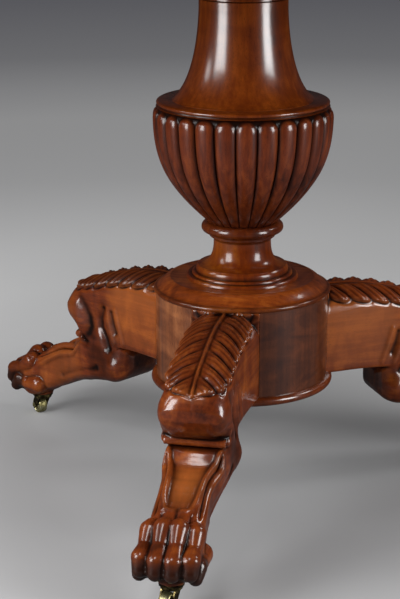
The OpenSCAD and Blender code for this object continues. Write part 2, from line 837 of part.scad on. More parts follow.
// Swivelling horn: a round top on two arms that reach back to the axle
module caster_horn(a) {
    foot = 5;
    color(brass) at_stem_parked(a) difference() {
        union() {
            disc(horn_r, horn_z, horn_t);
            for (side = [-1, 1]) translate([0, side * (arm_y + arm_t / 2), 0])
                rotate([90, 0, 0]) linear_extrude(arm_t, center = true) {
                    polygon([
                        [-foot - 2, horn_z + 1], [trail - axle_boss_r, wheel_r - 1],
                        [trail + axle_boss_r, wheel_r], [foot + 3, horn_z + 1]
                    ]);
                    translate([trail, wheel_r]) circle(r = axle_boss_r, $fn = 48);
                }
        }
        disc(stem_r + running_gap, horn_z - 1, horn_t + 2);
        translate([trail, 0, wheel_r]) rotate([90, 0, 0])
            cylinder(r = axle_r, h = wheel_w * 2, center = true, $fn = 48);
    }
}

// Axle with a riveted head at each end
module caster_axle(a) {
    reach = arm_y + arm_t;
    color(brass) at_stem_parked(a) translate([trail, 0, wheel_r]) rotate([90, 0, 0]) {
        cylinder(r = axle_r, h = 2 * reach + 1, center = true, $fn = 48);
        for (side = [-1, 1]) translate([0, 0, side * (reach + axle_head_t / 2)])
            cylinder(r = axle_head_r, h = axle_head_t, center = true, $fn = 48);
    }
}

// Wheel with a crowned tread, a hub and a dished face on each side
module caster_wheel(a) {
    half = wheel_w / 2;
    bore_r = axle_r + running_gap;
    hub_r = axle_r + 2.2;
    face_r = wheel_r - 2.6;
    color(brass) at_stem_parked(a) translate([trail, 0, wheel_r]) rotate([90, 0, 0])
        rotate_extrude($fn = 96) polygon([
            [bore_r, -half], [hub_r, -half], [hub_r + 0.6, -half + 1.2], [face_r, -half + 1.2],
            [face_r + 0.6, -half + 0.4], [wheel_r - 1.2, -half + 0.4], [wheel_r - 0.5, -half + 1.1],
            [wheel_r, -half / 3], [wheel_r, half / 3],
            [wheel_r - 0.5, half - 1.1], [wheel_r - 1.2, half - 0.4], [face_r + 0.6, half - 0.4],
            [face_r, half - 1.2], [hub_r + 0.6, half - 1.2], [hub_r, half], [bore_r, half]
        ]);
}

module caster_plate_front() {
    caster_plate(FRONT);
}

module caster_plate_right() {
    caster_plate(RIGHT);
}

module caster_plate_left() {
    caster_plate(LEFT);
}

module caster_horn_front() {
    caster_horn(FRONT);
}

module caster_horn_right() {
    caster_horn(RIGHT);
}

module caster_horn_left() {
    caster_horn(LEFT);
}

module caster_axle_front() {
    caster_axle(FRONT);
}

module caster_axle_right() {
    caster_axle(RIGHT);
}

module caster_axle_left() {
    caster_axle(LEFT);
}

module caster_wheel_front() {
    caster_wheel(FRONT);
}

module caster_wheel_right() {
    caster_wheel(RIGHT);
}

module caster_wheel_left() {
    caster_wheel(LEFT);
}

top_panel();
top_lipping();
bearer_front();
bearer_back();
top_screws();
pillar_block();
block_screws();
column_shaft();
cup_rim();
gadrooned_cup();
torus_collar();
socle();
step_ring();
drum_cap();
drum_core();
drum_base();
drum_panel_left();
drum_panel_right();
drum_panel_back();
base_screws();
iron_strap();
strap_screws();
tie_rod();
upper_washer();
upper_nut();
lower_washer();
lower_nut();
leg_front();
leg_right();
leg_left();
caster_plate_front();
caster_plate_right();
caster_plate_left();
caster_screws();
caster_horn_front();
caster_horn_right();
caster_horn_left();
caster_axle_front();
caster_axle_right();
caster_axle_left();
caster_wheel_front();
caster_wheel_right();
caster_wheel_left();
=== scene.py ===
"""Round mahogany pedestal table: the visual pieces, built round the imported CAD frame."""

import math

import bpy
import numpy as np
from mathutils import Euler, Matrix, Vector


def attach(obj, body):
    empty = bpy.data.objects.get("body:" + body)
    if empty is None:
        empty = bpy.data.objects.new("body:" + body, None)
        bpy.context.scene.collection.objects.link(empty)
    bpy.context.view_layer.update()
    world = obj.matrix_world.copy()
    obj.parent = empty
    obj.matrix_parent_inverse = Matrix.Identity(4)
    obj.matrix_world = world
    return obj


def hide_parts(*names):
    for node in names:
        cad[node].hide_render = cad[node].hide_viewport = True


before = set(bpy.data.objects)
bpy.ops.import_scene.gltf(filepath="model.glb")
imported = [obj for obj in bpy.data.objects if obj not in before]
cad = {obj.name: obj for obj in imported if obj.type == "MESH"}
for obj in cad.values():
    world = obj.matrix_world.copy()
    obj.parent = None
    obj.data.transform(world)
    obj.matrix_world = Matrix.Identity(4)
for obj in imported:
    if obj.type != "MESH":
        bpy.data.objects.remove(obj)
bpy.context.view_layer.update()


# Casters. Each is a cast brass plate with a riveted swivel pin, a horn that turns on the pin and
# a turned solid wheel on a riveted axle. The wheel and its axle are drawn in bright brass, the plate,
# horn and screws in a dark brown brass.

MM = 0.001
# Faces that meet at less than this are shaded as one surface
SMOOTH_BELOW = math.radians(34)
# Direction of each leg in degrees, then in mm the reach of its swivel pin and the trail of the wheel's
# axle behind that pin, and the turn in degrees at which the caster is parked
LEG_DIRECTIONS = {"front": -90, "right": 30, "left": 150}
STEM_REACH = 393
TRAIL = 10
PARK_TURN = -15
WHEEL_R = 12.5
WHEEL_W = 13
AXLE_R = 2.5
# Play of the wheel on its axle
PLAY = 0.06


def colour(hexa):
    """Linear RGBA of an sRGB hex value."""
    parts = [int(hexa[i:i + 2], 16) / 255 for i in (0, 2, 4)]
    return [p / 12.92 if p <= 0.04045 else ((p + 0.055) / 1.055) ** 2.4 for p in parts] + [1]


def add(tree, kind, inputs=None, stops=None, **settings):
    """Adds one node with its settings, its colour stops and its inputs, linked or set."""
    new = tree.nodes.new("ShaderNode" + kind)
    for name, value in settings.items():
        setattr(new, name, value)
    for name, value in (inputs or {}).items():
        if isinstance(value, bpy.types.NodeSocket):
            tree.links.new(value, new.inputs[name])
        else:
            new.inputs[name].default_value = value
    if stops:
        marks = new.color_ramp.elements
        while len(marks) < len(stops):
            marks.new(0.5)
        for mark, (place, shade) in zip(marks, stops):
            mark.position = place
            mark.color = shade
    return new


def new_material(name):
    material = bpy.data.materials.new(name)
    material.use_nodes = True
    shader = material.node_tree.nodes["Principled BSDF"]
    return material, material.node_tree, shader


def dress(piece, material, body, slot, *nodes):
    """Gives a finished piece its material, its body and the CAD nodes it stands for."""
    piece.data.materials.clear()
    piece.data.materials.append(material)
    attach(piece, body)
    if nodes:
        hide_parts(*nodes)


def paint(material, *nodes):
    """Gives CAD nodes that are shown as they are a better material."""
    for name in nodes:
        mesh = cad[name].data
        if not mesh.materials:
            mesh.materials.append(material)
        for i in range(len(mesh.materials)):
            mesh.materials[i] = material


def keep(piece, name, values):
    """Stores one number per vertex for the materials to read."""
    layer = piece.data.attributes.get(name) or piece.data.attributes.new(name, "FLOAT", "POINT")
    layer.data.foreach_set("value", np.asarray(values, dtype=np.float32))


def lathe(name, outline, turns=144, sweep=360, start=0):
    """Turns a closed outline of (radius, height) points in mm round the Z axis.

    The outline runs anticlockwise. Its inner corners, where polish and dust gather, are kept as
    the darkening attribute for patina, which the leg, the cup and the cap also fill with painted shade."""
    bpy.ops.object.select_all(action="DESELECT")
    bpy.ops.mesh.primitive_circle_add(vertices=len(outline), radius=0.1)
    piece = bpy.context.object
    piece.name = piece.data.name = name
    a = math.radians(start)
    for vertex, (r, z) in zip(piece.data.vertices, outline):
        vertex.co = (r * MM * math.cos(a), r * MM * math.sin(a), z * MM)
    bpy.ops.object.mode_set(mode="EDIT")
    bpy.ops.mesh.select_all(action="SELECT")
    if sweep < 360:
        bpy.ops.mesh.edge_face_add()
    bpy.ops.mesh.spin(
        steps=turns, angle=-math.radians(sweep), center=(0, 0, 0), axis=(0, 0, 1)
    )
    bpy.ops.mesh.select_all(action="SELECT")
    bpy.ops.mesh.remove_doubles(threshold=1e-6)
    bpy.ops.mesh.dissolve_degenerate(threshold=1e-7)
    bpy.ops.mesh.normals_make_consistent(inside=False)
    bpy.ops.object.mode_set(mode="OBJECT")
    bpy.ops.object.shade_smooth_by_angle(angle=SMOOTH_BELOW)
    line = np.array(outline)
    before, after = line - np.roll(line, 1, 0), np.roll(line, -1, 0) - line
    bend = np.arctan2(before[:, 0] * after[:, 1] - before[:, 1] * after[:, 0], (before * after).sum(1))
    spots = np.array([vertex.co for vertex in piece.data.vertices]) / MM
    gap = (np.hypot(spots[:, 0], spots[:, 1])[:, None] - line[:, 0]) ** 2 + (spots[:, 2:] - line[:, 1]) ** 2
    keep(piece, "hollow", np.clip(-bend, 0, 0.85)[gap.argmin(1)])
    return piece


def cast_brass(name, dark, mid, light, smooth):
    """Cast brass, filed and long handled: brown and bright in patches."""
    material, tree, shader = new_material(name)
    place = add(tree, "TexCoord").outputs["Object"]
    # Scales are in patches per metre: tarnish about 6 mm across, and file marks 1 mm wide, which is
    # coarser than a real file leaves them, so that they show.
    stain = add(tree, "TexNoise", {"Vector": place, "Scale": 160, "Detail": 4}).outputs["Fac"]
    tone = add(tree, "ValToRGB", {"Fac": stain}, stops=[
        (0.35, colour(dark)), (0.5, colour(mid)), (0.66, colour(light)),
    ]).outputs["Color"]
    scratch = add(tree, "TexNoise", {"Vector": place, "Scale": 900, "Detail": 2}).outputs["Fac"]
    rough = add(tree, "MapRange", {
        "Value": stain, "From Min": 0.3, "From Max": 0.7, "To Min": smooth + 0.26, "To Max": smooth,
    }).outputs["Result"]
    bump = add(tree, "Bump", {"Height": scratch, "Strength": 0.25, "Distance": 0.0002})
    tree.links.new(tone, shader.inputs["Base Color"])
    tree.links.new(rough, shader.inputs["Roughness"])
    tree.links.new(bump.outputs["Normal"], shader.inputs["Normal"])
    shader.inputs["Metallic"].default_value = 1
    return material


brass = cast_brass("worn_brass", "7d744a", "b9b27e", "dcd6ac", 0.3)
dark_brass = cast_brass("dark_brown_brass", "1c1710", "3b3320", "8a7c50", 0.35)

half = WHEEL_W / 2
bore = AXLE_R + PLAY
hub = AXLE_R + 2.2
face = WHEEL_R - 2.6
wheel_outline = [
    (bore, -half), (hub - 0.4, -half), (hub, -half + 0.4), (hub + 0.6, -half + 1.4),
    (hub + 1.4, -half + 1.8), (face - 1, -half + 1.8), (face - 0.2, -half + 1.4),
    (face + 0.4, -half + 0.5), (WHEEL_R - 1.6, -half + 0.4), (WHEEL_R - 0.8, -half + 0.9),
    (WHEEL_R - 0.2, -half + 1.8), (WHEEL_R, -half / 3), (WHEEL_R, half / 3),
    (WHEEL_R - 0.2, half - 1.8), (WHEEL_R - 0.8, half - 0.9), (WHEEL_R - 1.6, half - 0.4),
    (face + 0.4, half - 0.5), (face - 0.2, half - 1.4), (face - 1, half - 1.8),
    (hub + 1.4, half - 1.8), (hub + 0.6, half - 1.4), (hub, half - 0.4), (hub - 0.4, half),
    (bore, half),
]
for side, direction in LEG_DIRECTIONS.items():
    wheel = lathe("brass_wheel_" + side, wheel_outline, turns=64)
    upright = Matrix.Rotation(math.radians(90), 4, "X")
    at_axle = Matrix.Translation((TRAIL * MM, 0, WHEEL_R * MM))
    parked = Matrix.Rotation(math.radians(PARK_TURN), 4, "Z")
    at_stem = Matrix.Translation((STEM_REACH * MM, 0, 0))
    out = Matrix.Rotation(math.radians(direction), 4, "Z")
    wheel.data.transform(out @ at_stem @ parked @ at_axle @ upright)
    dress(wheel, brass, "wheel_" + side, "brass", "caster_wheel_" + side)
    paint(dark_brass, "caster_plate_" + side, "caster_horn_" + side)
    paint(brass, "caster_axle_" + side)
paint(dark_brass, "caster_screws")


# Legs. Each is carved from one thick piece of mahogany sawn to a cabriole shape: an acanthus leaf
# runs over the thigh to the knee, the hock is fluted, the shank hollowed between two ridges, and
# the foot is a lion's paw. The carving is polished all over and has darkened in its hollows, and
# shade and light are painted into its colour as marked below.

# In mm: height of the paw's sole, radius of the drum's wall, and of the leg's root in the drum how
# near it comes to the axis, its underside, its top and its half width
SOLE_Z = 34
DRUM_R = 112
ROOT_IN, ROOT_LOW, ROOT_HIGH, ROOT_HALF_W = 84, 156, 268.6, 43.5
TOE_PITCH = 17.6
ROLL_X, ROLL_Z, ROLL_R, ROLL_LENGTH = 274, 159.5, 6, 76
# Where the leaf starts at the drum, how far it runs along the leg and how many lobes it has there
LEAF_START, LEAF_RUN, LEAF_LOBES = 112, 182, 7.2
# Distance between the rows of a loft, and the grid of the skin over all
ROW_STEP = 3
VOXEL = 1.2
# Share of the carved leg's triangles that stays, to keep it under 200,000
KEPT_SHARE = 0.76
THIGH_ROWS = np.array([
    # distance from the axis, half width, underside, crest, crown width, crown height, edge
    (84, 43.5, 156, 267, 40, 34, 4), (108, 43, 156, 267, 40, 34, 4), (157, 40, 156, 266, 37, 26, 4),
    (193, 38, 154, 260, 34, 22, 4), (236, 39.5, 150, 248, 34, 22, 3), (262, 43, 151.5, 239, 37, 24, 14),
    (280, 44.5, 165, 230.5, 38, 27, 24), (291, 43.5, 174, 223, 36, 26, 22),
    (297, 41, 184, 214, 33, 18, 11), (300, 37.5, 192, 206, 29, 7, 6),
])
SHANK_ROWS = np.array([
    (181, 20, 122, 144, 8, 6, 6), (184, 27, 116, 149, 10, 7, 6), (190, 32.5, 109, 154, 12, 6, 7),
    (203, 37, 101, 160, 7, 5, 12), (232, 38.5, 95, 159, 7, 5, 19), (262, 38, 88, 152, 6, 6, 24),
    (271, 36.5, 85, 151.2, 4.5, 6, 24), (277, 36.3, 84, 149.2, 5.5, 7, 24), (281, 36, 83, 145, 6.5, 8, 24),
    (285, 35.4, 82, 139.8, 7.5, 8, 23), (289, 34.6, 81, 136.4, 8.5, 8, 22), (300, 32, 76, 133.6, 8.5, 9, 20),
    (310, 30.4, 72, 131.6, 8.5, 10, 19), (320, 29.5, 67, 129.3, 8.5, 10, 18), (331, 29.3, 62, 125, 9, 11, 17),
    (345, 30, 56, 118, 11, 12, 15), (366, 32.5, 48, 107, 20, 16, 14), (378, 35, 39, 101, 28, 24, 18),
    (408, 37.5, 40, 88, 31, 24, 20), (427, 31, 52, 68, 24, 8, 8),
])


def rows_at(places, rows):
    """Rows of sizes at places between the given ones, on a smooth curve through them."""
    x, values = rows[:, 0], rows[:, 1:]
    slopes = np.gradient(values, x, axis=0)
    i = np.clip(np.searchsorted(x, places, side="right") - 1, 0, len(x) - 2)
    h = (x[i + 1] - x[i])[:, None]
    t = ((places - x[i])[:, None]) / h
    return (
        values[i] * (2 * t**3 - 3 * t**2 + 1) + slopes[i] * h * (t**3 - 2 * t**2 + t)
        + values[i + 1] * (3 * t**2 - 2 * t**3) + slopes[i + 1] * h * (t**3 - t**2)
    )


def leg_loft(name, rows, step):
    """A closed bar along X: flat sides, an elliptical crown above and round edges below."""
    places = np.arange(rows[0, 0], rows[-1, 0] + step / 2, step)
    rings = []
    for x, (w, low, high, crown_w, crown_h, edge) in zip(places, rows_at(places, rows)):
        a = np.radians(np.linspace(0, 90, 13))
        b = np.radians(np.linspace(180, 270, 7))
        top = np.stack([w - crown_w + crown_w * np.cos(a), high - crown_h + crown_h * np.sin(a)], 1)
        bottom = np.stack([edge - w + edge * np.cos(b), low + edge + edge * np.sin(b)], 1)
        ring = np.concatenate([top, top[::-1] * (-1, 1), bottom, bottom[::-1] * (-1, 1)])
        rings.append(np.insert(ring, 0, x, axis=1))
    count = len(rings[0])
    faces = [tuple(range(count)), tuple(range(len(rings) * count - 1, (len(rings) - 1) * count - 1, -1))]
    for i in range(len(rings) - 1):
        for k in range(count):
            j = (k + 1) % count
            faces.append((i * count + k, (i + 1) * count + k, (i + 1) * count + j, i * count + j))
    mesh = bpy.data.meshes.new(name)
    mesh.from_pydata(np.concatenate(rings) * MM, [], faces)
    piece = bpy.data.objects.new(name, mesh)
    bpy.context.collection.objects.link(piece)
    return piece


def knuckles(name, *balls):
    """A toe's length between round knuckles, each (x, y, z, radius) from the stem and the sole."""
    parts = []
    for pair in zip(balls, balls[1:]):
        bpy.ops.object.select_all(action="DESELECT")
        for x, y, z, r in pair:
            bpy.ops.mesh.primitive_ico_sphere_add(
                subdivisions=4, radius=r * MM, location=((STEM_REACH + x) * MM, y * MM, (SOLE_Z + z) * MM)
            )
            parts.append(bpy.context.object)
        for ball in parts[-2:]:
            ball.select_set(True)
        bpy.ops.object.join()
        parts = parts[:-2] + [bpy.context.object]
        bpy.ops.object.mode_set(mode="EDIT")
        bpy.ops.mesh.select_all(action="SELECT")
        bpy.ops.mesh.convex_hull()
        bpy.ops.object.mode_set(mode="OBJECT")
        bpy.context.object.name = name
    return parts


def join(parts, name):
    bpy.ops.object.select_all(action="DESELECT")
    for part in parts:
        part.select_set(True)
    bpy.context.view_layer.objects.active = parts[0]
    bpy.ops.object.join()
    piece = bpy.context.object
    piece.name = piece.data.name = name
    bpy.ops.object.transform_apply(location=True, rotation=True, scale=True)
    return piece


def near_line(x, z, line):
    """Distance of points from a polyline in the (x, z) plane."""
    best = np.full(len(x), 1e9)
    for (x0, z0), (x1, z1) in zip(line, line[1:]):
        dx, dz = x1 - x0, z1 - z0
        t = np.clip(((x - x0) * dx + (z - z0) * dz) / (dx * dx + dz * dz), 0, 1)
        best = np.minimum(best, np.hypot(x - x0 - t * dx, z - z0 - t * dz))
    return best


def ease(value, low, high):
    """0 below low, 1 above high, smooth between."""
    t = np.clip((value - low) / (high - low), 0, 1)
    return t * t * (3 - 2 * t)


def points_and_normals(mesh):
    points = np.zeros(len(mesh.vertices) * 3)
    mesh.vertices.foreach_get("co", points)
    normals = np.zeros(len(mesh.vertices) * 3)
    mesh.vertices.foreach_get("normal", normals)
    return points.reshape(-1, 3) / MM, normals.reshape(-1, 3)


def set_points(mesh, points):
    mesh.vertices.foreach_set("co", (points * MM).ravel())
    mesh.update()


def relax(mesh, points, rounds, weight=None, share=0.5):
    """Moves each vertex part of the way to the middle of its neighbours, in rounds."""
    edges = np.zeros(len(mesh.edges) * 2, dtype=int)
    mesh.edges.foreach_get("vertices", edges)
    a, b = edges.reshape(-1, 2).T
    count = np.bincount(np.concatenate([a, b]), minlength=len(points))
    count = np.maximum(count, 1)[:, None]
    for _ in range(rounds):
        total = np.stack([
            np.bincount(a, points[b, k], len(points)) + np.bincount(b, points[a, k], len(points))
            for k in range(3)
        ], 1)
        pull = share * (total / count - points)
        points = points + (pull if weight is None else pull * weight[:, None])
    return points


def patina(piece, reach, full, more=0):
    """Keeps how sunk and how raised the surface is at each vertex, from 0 to 1; more is painted shade added
    to the sunk share.
    """
    mesh = piece.data
    points, normals = points_and_normals(mesh)
    sunk = ((relax(mesh, points, reach) - points) * normals).sum(1)
    sunk = relax(mesh, np.repeat(sunk[:, None], 3, 1), 2)[:, 0]
    keep(piece, "hollow", np.clip(sunk / full + more, 0, 1))
    keep(piece, "raised", np.clip(-sunk / full - 0.15, 0, 1))


parts = [leg_loft("thigh", THIGH_ROWS, ROW_STEP), leg_loft("shank", SHANK_ROWS, ROW_STEP)]
half_slot = math.degrees(math.asin(ROOT_HALF_W / DRUM_R))
root_outline = [(ROOT_IN, ROOT_LOW), (DRUM_R, ROOT_LOW), (DRUM_R, ROOT_HIGH), (ROOT_IN, ROOT_HIGH)]
root = lathe("root", root_outline, 24, 2 * half_slot, -half_slot)
parts.append(root)

# Paw: four toes, the outer two set back, one more on each side, and a round sole for the caster.
for i, back in enumerate((6, 0, 0, 6)):
    y = (i - 1.5) * TOE_PITCH
    parts += knuckles(
        "toe", (-2 - back, y * 0.98, 63.5 - back, 13), (15 - back, y * 1.03, 50 - back, 9.6),
        (32 - back, y * 1.08, 37.5, 12.6), (37 - back, y * 1.09, 26, 11.4),
    )
for y in (-1, 1):
    parts += knuckles(
        "side_toe", (-25, y * 29, 26, 13.5), (-8, y * 31.5, 25, 10.5), (11, y * 34, 26, 12),
        (20, y * 32.5, 16, 10.5),
    )
bpy.ops.object.select_all(action="DESELECT")
bpy.ops.mesh.primitive_cylinder_add(
    vertices=48, radius=16 * MM, depth=20 * MM, location=(STEM_REACH * MM, 0, (SOLE_Z + 10) * MM)
)
parts.append(bpy.context.object)

# Roll across the leg under the knee, with a ball at each end.
bpy.ops.mesh.primitive_cylinder_add(
    vertices=32, radius=ROLL_R * MM, depth=ROLL_LENGTH * MM,
    location=(ROLL_X * MM, 0, ROLL_Z * MM), rotation=(math.pi / 2, 0, 0)
)
parts.append(bpy.context.object)
for y in (-1, 1):
    bpy.ops.mesh.primitive_ico_sphere_add(
        subdivisions=4, radius=(ROLL_R + 1) * MM,
        location=((ROLL_X - 6) * MM, y * 37.5 * MM, (ROLL_Z + 1.5) * MM)
    )
    parts.append(bpy.context.object)

# One skin over all of it, smoothed most where the thigh runs into the hock.
leg = join(parts, "carved_leg")
leg.data.remesh_voxel_size = VOXEL * MM
bpy.ops.object.voxel_remesh()
points, _ = points_and_normals(leg.data)
points = relax(leg.data, points, 4)
x, y, z = points.T
joined = ease(x, 192, 202) * ease(-x, -258, -246) * ease(z, 142, 148) * ease(-z, -166, -160)
points = relax(leg.data, points, 30, joined * ease(np.abs(y), 22, 28))
set_points(leg.data, points)
points, normals = points_and_normals(leg.data)
x, y, z = points.T
side = np.sign(y)
flank = ease(np.abs(normals[:, 1]), 0.3, 0.8)
crown = ease(normals[:, 2], -0.1, 0.35)

# The plan of the knee is rounded, so that its corners catch the light.
corner = 15 - 15 * np.sqrt(1 - (np.clip(np.abs(y) - 12, 0, 32) / 33.5) ** 2)
points[:, 0] -= ease(x, 258, 292) * ease(z, 156, 170) * corner

# Leaf: lobes swept forward from a raised midrib, each convex and ending in a scallop.
w, _, high, _, crown_h, _ = rows_at(np.clip(x, 84, 300), THIGH_ROWS).T
girth = np.arctan2(np.abs(y) / w, (z - high + crown_h) / crown_h) * 2 / math.pi
across_leaf = np.clip(girth, 0, 1.2)
phase = LEAF_LOBES * ((x - LEAF_START) / LEAF_RUN - 0.25 * across_leaf**0.65) + 0.3
wave = np.abs(np.sin(math.pi * phase))
reach = np.interp(
    x, [100, 121, 145, 169, 190, 235, 263, 270, 280, 290, 295],
    [0.46, 0.52, 0.63, 0.7, 0.73, 0.67, 0.55, 0.49, 0.37, 0.18, -0.1],
)
edge = reach + 0.13 * wave**0.6 * ease(reach, 0, 0.4)
# About how far inside the leaf's edge a point lies, in mm
depth_in = (edge - girth) * 36
inside = ease(depth_in, -0.8, 0.8) * ease(z, 196, 204) * ease(x, 100, 112)
rib_w = np.interp(x, [112, 294], [2.4, 1.2])
rib = np.exp(-(np.abs(y) / rib_w) ** 4)
swell = 5.6 * wave**0.8 * ease(np.abs(y), rib_w - 1, rib_w + 16)
vein = sum(np.exp(-(((phase % 1) - v) / 0.06) ** 2) for v in (0.34, 0.64))
tip_roll = 0.7 * np.exp(-((depth_in - 3) / 3) ** 2)
veins = 1.5 * vein * ease(wave, 0.3, 0.7) * ease(girth, 0.05, 0.2)
leaf = inside * (-1.0 + swell + 2.4 * rib - veins + tip_roll)
points += normals * leaf[:, None]
shadow = np.exp(-((depth_in + 2.2) / 1.6) ** 2) * ease(z, 196, 204) * ease(x, 100, 112)
points -= normals * (0.8 * shadow)[:, None]

# Flank: the groove behind the knee, the flutes of the hock, the heel and the shank's long hollow.
flutes = [
    ([(264, 214), (255, 202), (248, 188), (246, 175), (250, 165), (259, 157)], 11.5, 4.4),
    ([(224, 205), (228, 190), (227, 178), (219, 163), (214, 150)], 7.0, 5.0),
    ([(207, 203), (203, 188), (198, 175)], 4.2, 2.0),
    ([(316, 86), (285, 100), (262, 108), (238, 116)], 5.5, 2.6),
]
cut = np.zeros(len(x))
for line, width, depth in flutes:
    cut += depth * np.exp(-(near_line(x, z, line) / width) ** 2)
cut -= 1.2 * np.exp(-(near_line(x, z, [(214, 206), (212, 188), (207, 172), (202, 160)]) / 3.4) ** 2)
cut -= 1.2 * np.exp(-(near_line(x, z, [(199, 208), (192, 185), (184, 162)]) / 3.4) ** 2)
cut -= 5.0 * np.exp(-(((x - 204) / 13) ** 2 + ((z - 123) / 14) ** 2))
points[:, 1] -= side * flank * cut

# Shank: a hollow panel between two thin ridges, and a groove and a tendon outside each ridge.
w, _, high, crown_w, crown_h, _ = rows_at(np.clip(x, 188, 427), SHANK_ROWS).T
below_knee = ease(x, 270, 284) * ease(-z, -158, -152)
out = np.abs(y) - (w - crown_w) + (high - z)
span = crown_w + crown_h
panel = np.interp(x, [288, 300, 315, 335, 350, 366], [0, 2.8, 4.6, 4.6, 3.2, 0])
dish = panel * np.clip(1 - (y / (w - crown_w)) ** 4, 0, 1)
ridge = np.interp(x, [255, 268, 345, 364], [0, 3.8, 3.6, 0]) * np.exp(-((out - 1) / 3.1) ** 2)
groove = np.interp(x, [268, 284, 350, 372], [0, 6.5, 5.5, 0]) * np.exp(-((out - 0.5 * span - 1) / 3.2) ** 2)
tendon = np.interp(x, [268, 284, 350, 372], [0, 2.4, 2.2, 0]) * np.exp(-((out - span - 2) / 3.4) ** 2)
points += normals * (below_knee * ease(normals[:, 2], -0.3, 0.1) * (ridge + tendon - dish - groove))[:, None]
lip = 2.4 * np.exp(-((x - 363) / 3.2) ** 2) * ease(-np.abs(y), -22, -14) * (1 - np.exp(-(y / 3) ** 2))
bulge = 4 * np.exp(-(((x - 283) / 9) ** 2)) * np.clip(1 - (y / 26) ** 2, 0, 1)
sinew = 3.5 * (np.abs(np.sin(math.pi * y / 17)) ** 0.7 - 0.6) * ease(x, 362, 370) * ease(-x, -388, -378)
points[:, 2] += crown * (lip + sinew + below_knee * bulge) * ease(z, 84, 94)

# Claws: set back under the end of each toe.
claw = ease(x + 0.5 * np.abs(y), 406, 416) * ease(-z, -80, -64)
points -= normals * (claw * 2.0)[:, None]
set_points(leg.data, points)
points = relax(leg.data, points, 2, share=0.35)
set_points(leg.data, points)

# Painted shade beyond the patina that the relief gives: under and over the roll, in the knee's
# groove, at the hock, low on the knee and deeper towards one side, at the leaf's root, under the thigh,
# and between the toes, where it also stands for dirt.
painted_shade = 0.85 * ease(x, 252, 262) * ease(-x, -284, -278) * np.exp(-((z - 151) / 4.2) ** 2)
painted_shade += 0.8 * ease(x, 266, 272) * np.exp(-((z - 167 - (x - 276) * 0.5) / 1.6) ** 2) * ease(-z, -174, -170)
knee_groove = np.exp(-(near_line(x, z, flutes[0][0]) / 5) ** 2)
hock = ease(x, 196, 206) * ease(-x, -262, -250) * ease(-z, -205, -180)
painted_shade += 0.62 * ease(x, 262, 276) * ease(-z, -192, -164) * ease(z, 160, 167) * ease(y, -30, 20)
painted_shade += 0.25 * ease(x, 262, 276) * ease(-z, -186, -164) * ease(z, 160, 167)
painted_shade += flank * (0.6 * knee_groove + 0.3 * hock)
paw = ease(x, 392, 402) * ease(-z, -104, -98)
painted_shade += 0.8 * ease(-x, -118, -114) * ease(z, 250, 262)
painted_shade += 0.35 * ease(-x, -262, -240) * ease(-z, -153, -147)
painted_shade += 0.6 * paw * sum(np.exp(-((np.abs(y) - gap) / 1.9) ** 2) for gap in (0, 18.4))
patina(leg, 12, 0.5, painted_shade)

# Painted light: the shank's upward-facing panel and the plain sides of thigh and shank are drawn
# paler, the thigh's sides more so higher up.
panel_light = ease(x, 276, 308) * ease(-x, -372, -325) * ease(normals[:, 2], 0.3, 0.8) * ease(-np.abs(y), -24, -8)
thigh_side = ease(-x, -225, -190) * ease(z, 158, 170) * (0.6 + 0.6 * ease(z, 170, 240))
shank_side = 0.6 * ease(x, 262, 285) * ease(-x, -372, -350)
flat = flank * (thigh_side + shank_side)
keep(leg, "panel_light", panel_light)
keep(leg, "flat", flat * (1 - inside))
# The claws are drawn near black: a darker stain, and painted shade on the toes' low ends.
keep(leg, "claw", claw)
# The leaf, the leg's root and the toe ends take a darker stain and a duller polish; how dark each leg draws
# it is partly painted shade and painted light.
leaf_root = ease(-x, -119, -115)
toe_ends = 0.6 * ease(x, 385, 405)
keep(leg, "leaf", np.maximum(np.maximum(inside, leaf_root), toe_ends))
bpy.ops.object.select_all(action="DESELECT")
leg.select_set(True)
bpy.context.view_layer.objects.active = leg
thinned = leg.modifiers.new("thinned", "DECIMATE")
thinned.ratio = KEPT_SHARE
bpy.ops.object.modifier_apply(modifier=thinned.name)
bpy.ops.object.shade_smooth()


